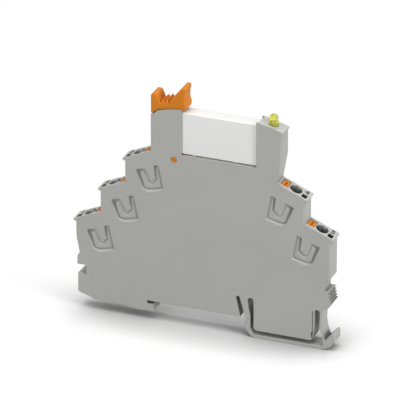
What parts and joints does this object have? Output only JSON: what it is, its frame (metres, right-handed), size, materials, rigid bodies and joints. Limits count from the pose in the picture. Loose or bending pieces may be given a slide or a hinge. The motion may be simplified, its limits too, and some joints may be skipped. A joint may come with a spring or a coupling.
{
  "type": "relay module",
  "caption": "Slim rail-mounted relay module: stepped grey housing with push-in terminals, plug-in relay, orange release lever and status lamp.",
  "frame": {"origin": "centre of the seat on the rail's flange tops, in the middle of the housing's thickness", "axes": "+X along the long side towards the lamp and the sprung foot, +Y across the thickness to the rear cover, +Z away from the rail towards the lever"},
  "size_m": [0.0943, 0.0062, 0.0877],
  "materials": {
    "housing_grey": "fine matt moulded",
    "orange_plastic": "satin moulded",
    "relay_white": "satin moulded",
    "lamp_lens": "clear tinted",
    "contact_metal": "tinned",
    "spring_steel": "rolled",
    "iron": "nickel plated",
    "copper_wire": "enamelled winding",
    "board_green": "solder mask",
    "component_black": "moulded"
  },
  "bodies": {
    "base": {"housing": "housing_grey", "rear_cover": "housing_grey", "clamp_spring_left_upper": "spring_steel", "clamp_spring_left_middle": "spring_steel", "clamp_spring_left_lower": "spring_steel", "clamp_spring_right_upper": "spring_steel", "clamp_spring_right_lower": "spring_steel", "busbar_left_upper": "contact_metal", "busbar_left_middle": "contact_metal", "busbar_left_lower": "contact_metal", "busbar_right_upper": "contact_metal", "busbar_right_lower": "contact_metal", "coil_sockets": "contact_metal", "circuit_board": "board_green", "resistor": "component_black", "diode": "component_black", "led": "lamp_lens", "led_leads": "contact_metal"},
    "lever": {"release_lever": "orange_plastic"},
    "relay": {"relay_case": "relay_white", "relay_base": "relay_white", "yoke": "iron", "bobbin": "relay_white", "winding": "copper_wire", "core": "iron", "contact_closed": "contact_metal", "contact_open": "contact_metal", "common_pin": "contact_metal", "coil_pin_pair": "contact_metal"},
    "armature": {"armature": "iron", "contact_arm": "contact_metal"},
    "button_left_upper": {"button_left_upper": "orange_plastic"},
    "button_left_middle": {"button_left_middle": "orange_plastic"},
    "button_left_lower": {"button_left_lower": "orange_plastic"},
    "button_right_upper": {"button_right_upper": "orange_plastic"},
    "button_right_lower": {"button_right_lower": "orange_plastic"}
  },
  "joints": [
    {"name": "lever_swing", "type": "hinge", "parent": "base", "child": "lever", "pos_m": [-0.0083, 0, 0.0543], "axis": [0, -1, 0], "range_deg": [0, 35]},
    {"name": "relay_lift", "type": "slide", "parent": "base", "child": "relay", "axis": [0, 0, 1], "range_m": [0, 0.00305]},
    {"name": "armature_rock", "type": "hinge", "parent": "relay", "child": "armature", "pos_m": [0.009, 0, 0.0595], "axis": [0, 1, 0], "range_deg": [0, 2.3], "stiffness_Nm_per_rad": 0.02, "springref_deg": -1.15},
    {"name": "button_press_left_upper", "type": "slide", "parent": "base", "child": "button_left_upper", "axis": [0.3939, 0, -0.9191], "range_m": [0, 0.0012], "stiffness_N_per_m": 3000, "springref_m": -0.0004},
    {"name": "button_press_left_middle", "type": "slide", "parent": "base", "child": "button_left_middle", "axis": [0.3939, 0, -0.9191], "range_m": [0, 0.0012], "stiffness_N_per_m": 3000, "springref_m": -0.0004},
    {"name": "button_press_left_lower", "type": "slide", "parent": "base", "child": "button_left_lower", "axis": [0.3939, 0, -0.9191], "range_m": [0, 0.0012], "stiffness_N_per_m": 3000, "springref_m": -0.0004},
    {"name": "button_press_right_upper", "type": "slide", "parent": "base", "child": "button_right_upper", "axis": [-0.3939, 0, -0.9191], "range_m": [0, 0.0012], "stiffness_N_per_m": 3000, "springref_m": -0.0004},
    {"name": "button_press_right_lower", "type": "slide", "parent": "base", "child": "button_right_lower", "axis": [-0.3939, 0, -0.9191], "range_m": [0, 0.0012], "stiffness_N_per_m": 3000, "springref_m": -0.0004}
  ],
  "couplings": [
    {"joint": "lever_swing", "follows": "relay_lift", "rad_per_m": 200}
  ]
}
